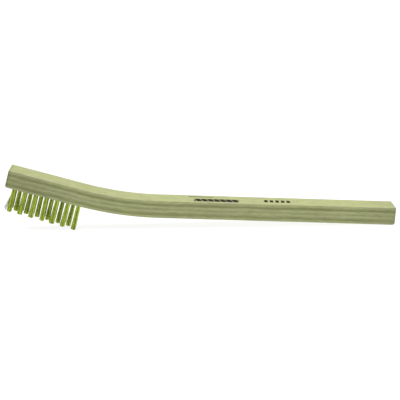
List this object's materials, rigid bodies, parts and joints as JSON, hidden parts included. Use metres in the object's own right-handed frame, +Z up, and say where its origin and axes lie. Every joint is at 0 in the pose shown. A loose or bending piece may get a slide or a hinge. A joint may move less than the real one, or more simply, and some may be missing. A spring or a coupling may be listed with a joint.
{
  "type": "wire brush",
  "caption": "Small hand scratch brush: a bent hardwood block is grip and head, with staggered rows of brass-coloured wire tufts, each held by a wire staple.",
  "frame": {"origin": "on the bench surface, under the middle of the brush's overall length and width", "axes": "+X from the head to the end of the grip, +Y to the back row of tufts, +Z up; the brush lies tufts down, on the last tufts of the outer rows and the lower corner of the grip's end"},
  "size_m": [0.1898, 0.011, 0.0314],
  "materials": {
    "block_wood": "matte",
    "tuft_wire": "satin",
    "staple_steel": "satin"
  },
  "bodies": {
    "root": {"handle_block": "block_wood", "tuft_front_1": "tuft_wire", "staple_front_1": "staple_steel", "tuft_front_2": "tuft_wire", "staple_front_2": "staple_steel", "tuft_front_3": "tuft_wire", "staple_front_3": "staple_steel", "tuft_front_4": "tuft_wire", "staple_front_4": "staple_steel", "tuft_front_5": "tuft_wire", "staple_front_5": "staple_steel", "tuft_front_6": "tuft_wire", "staple_front_6": "staple_steel", "tuft_front_7": "tuft_wire", "staple_front_7": "staple_steel", "tuft_middle_1": "tuft_wire", "staple_middle_1": "staple_steel", "tuft_middle_2": "tuft_wire", "staple_middle_2": "staple_steel", "tuft_middle_3": "tuft_wire", "staple_middle_3": "staple_steel", "tuft_middle_4": "tuft_wire", "staple_middle_4": "staple_steel", "tuft_middle_5": "tuft_wire", "staple_middle_5": "staple_steel", "tuft_middle_6": "tuft_wire", "staple_middle_6": "staple_steel", "tuft_back_1": "tuft_wire", "staple_back_1": "staple_steel", "tuft_back_2": "tuft_wire", "staple_back_2": "staple_steel", "tuft_back_3": "tuft_wire", "staple_back_3": "staple_steel", "tuft_back_4": "tuft_wire", "staple_back_4": "staple_steel", "tuft_back_5": "tuft_wire", "staple_back_5": "staple_steel", "tuft_back_6": "tuft_wire", "staple_back_6": "staple_steel", "tuft_back_7": "tuft_wire", "staple_back_7": "staple_steel"}
  },
  "joints": []
}
